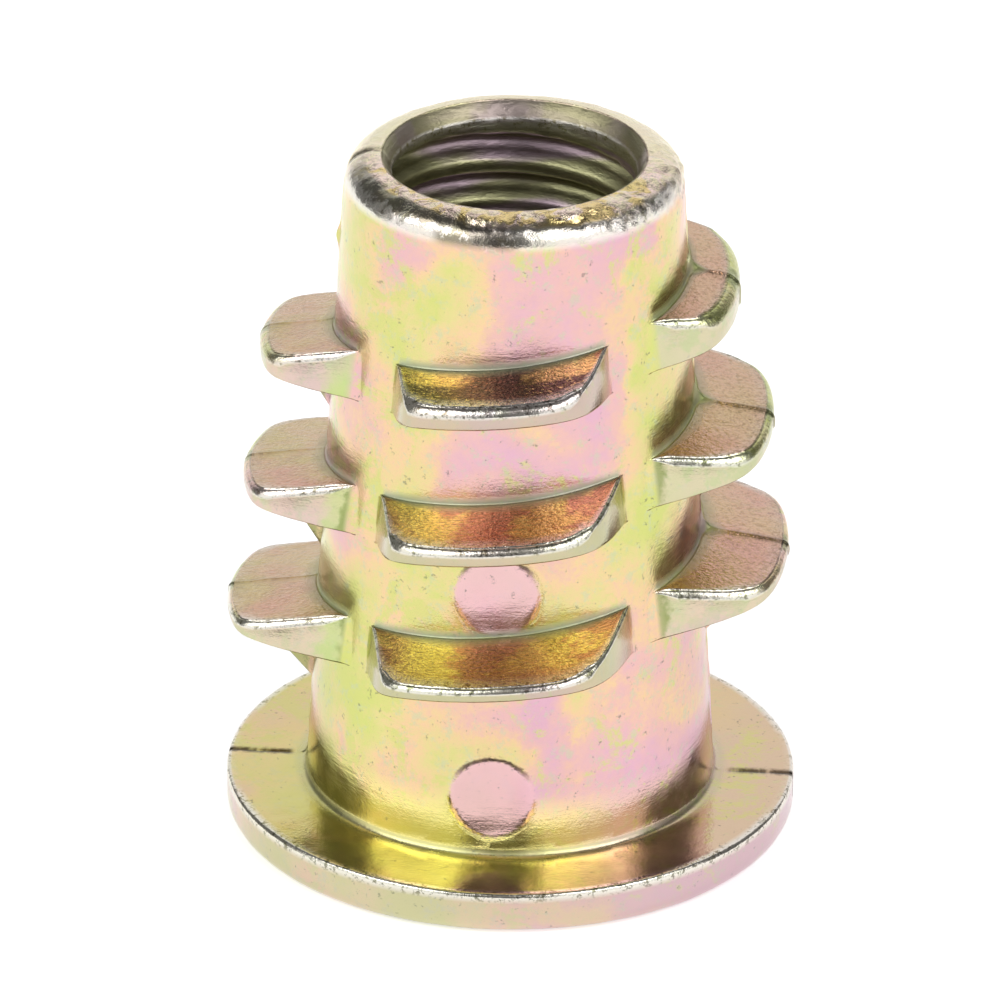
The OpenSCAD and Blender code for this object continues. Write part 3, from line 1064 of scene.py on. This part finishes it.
def direction(azimuth, elevation):
    """Unit vector from the casting, at degrees to the right of the front and above the level."""
    a, e = math.radians(azimuth), math.radians(elevation)
    return Vector((math.sin(a) * math.cos(e), -math.cos(a) * math.cos(e), math.sin(e)))


def aim(thing, place, target):
    """Puts a lamp or camera at a place, looking at a target."""
    thing.location = place
    thing.rotation_mode = "QUATERNION"
    thing.rotation_quaternion = (Vector(target) - Vector(place)).to_track_quat("-Z", "Y")


# The studio, as strengths seen from the insert: pale walls in front, a dark gap where the camera
# stands, dark at both sides, grey behind and dark overhead
WALL_FRONT = 1.16
WALL_BEHIND = 0.98
CAMERA_GAP = 0.16
SIDE_GAP = 0.16
OVERHEAD = 0.1
# Where they change, in degrees from the front, and heights on the dome as sines
CAMERA_GAP_ENDS = (24, 14)
FRONT_ENDS = (92, 78)
BEHIND_ENDS = (150, 135)
OVERHEAD_FROM = (0.8, 0.9)

LAMPS = (("front_left", -54), ("front_right", 54))
LAMP_ELEVATION = 46
LAMP_DISTANCE = 0.32
LAMP_SIZE = (0.26, 0.13)
LAMP_RADIANCE = 2.1


def add_lamp(name, azimuth):
    """A soft lamp that looks at the insert."""
    lamp = bpy.data.lights.new(name, "AREA")
    lamp.shape = "RECTANGLE"
    lamp.size, lamp.size_y = LAMP_SIZE
    lamp.energy = LAMP_RADIANCE * math.pi * LAMP_SIZE[0] * LAMP_SIZE[1]
    place = Vector(MIDDLE) + direction(azimuth, LAMP_ELEVATION) * LAMP_DISTANCE
    aim(add_object(name, lamp), place, MIDDLE)


def cosines(angles):
    """Cosines of angles in degrees."""
    return [math.cos(math.radians(a)) for a in angles]


def build_light():
    """The studio's walls as a dome, and two soft lamps in front."""
    world = bpy.data.worlds.new("studio")
    bpy.context.scene.world = world
    world.use_nodes = True
    n = Nodes(world.node_tree)
    toward = n.add("ShaderNodeTexCoord").outputs["Generated"]
    x, y, up = n.add("ShaderNodeSeparateXYZ", {0: toward}).outputs
    # The cosine of the angle from the front; the small number keeps it finite straight up
    facing = n.math("DIVIDE", n.times(y, -1.0), n.plus(n.hypot(x, y), 0.0001))
    wall = n.step(facing, *cosines(BEHIND_ENDS), WALL_BEHIND, SIDE_GAP)
    wall = n.plus(wall, n.step(facing, *cosines(FRONT_ENDS), 0.0, WALL_FRONT - SIDE_GAP))
    gap = n.times(n.step(facing, *cosines(CAMERA_GAP_ENDS)), n.step(up, 0.8, 0.6, 0.7, 1.0))
    wall = n.plus(wall, gap, CAMERA_GAP - WALL_FRONT)
    # The wall behind reaches a little higher than the others
    high = n.step(n.plus(up, n.step(facing, -0.5, 0.0, -0.1, 0.0)), *OVERHEAD_FROM)
    shade = n.math("ADD", n.times(wall, n.rest(high)), n.times(high, OVERHEAD))
    back = n.add("ShaderNodeBackground", {"Color": (1, 1, 1, 1), "Strength": shade})
    n.add("ShaderNodeOutputWorld", {"Surface": back.outputs[0]})
    for name, azimuth in LAMPS:
        add_lamp(name, azimuth)


# Camera: fitted to the outlines of the flange, the rim and the lugs
VIEW_DISTANCE = 0.4
VIEW_AZIMUTH = 4.4
VIEW_ELEVATION = 26.31
VIEW_ROLL = 0.41
VIEW_LENS = 411.6
VIEW_SENSOR = 36
VIEW_SHIFT = (-0.01184, -0.01616)
VIEW_CLIP = (0.01, 20)


def build_camera():
    """The camera at the photograph's angle."""
    camera = bpy.data.cameras.new("camera")
    camera.lens = VIEW_LENS
    camera.sensor_width = VIEW_SENSOR
    camera.shift_x, camera.shift_y = VIEW_SHIFT
    camera.clip_start, camera.clip_end = VIEW_CLIP
    thing = add_object("camera", camera)
    aim(thing, Vector(MIDDLE) + direction(VIEW_AZIMUTH, VIEW_ELEVATION) * VIEW_DISTANCE, MIDDLE)
    roll = Matrix.Rotation(math.radians(VIEW_ROLL), 4, "Z").to_quaternion()
    thing.rotation_quaternion = thing.rotation_quaternion @ roll
    bpy.context.scene.camera = thing


bpy.context.scene.view_settings.view_transform = "Standard"
build_camera()
build_insert()
build_floor()
build_light()
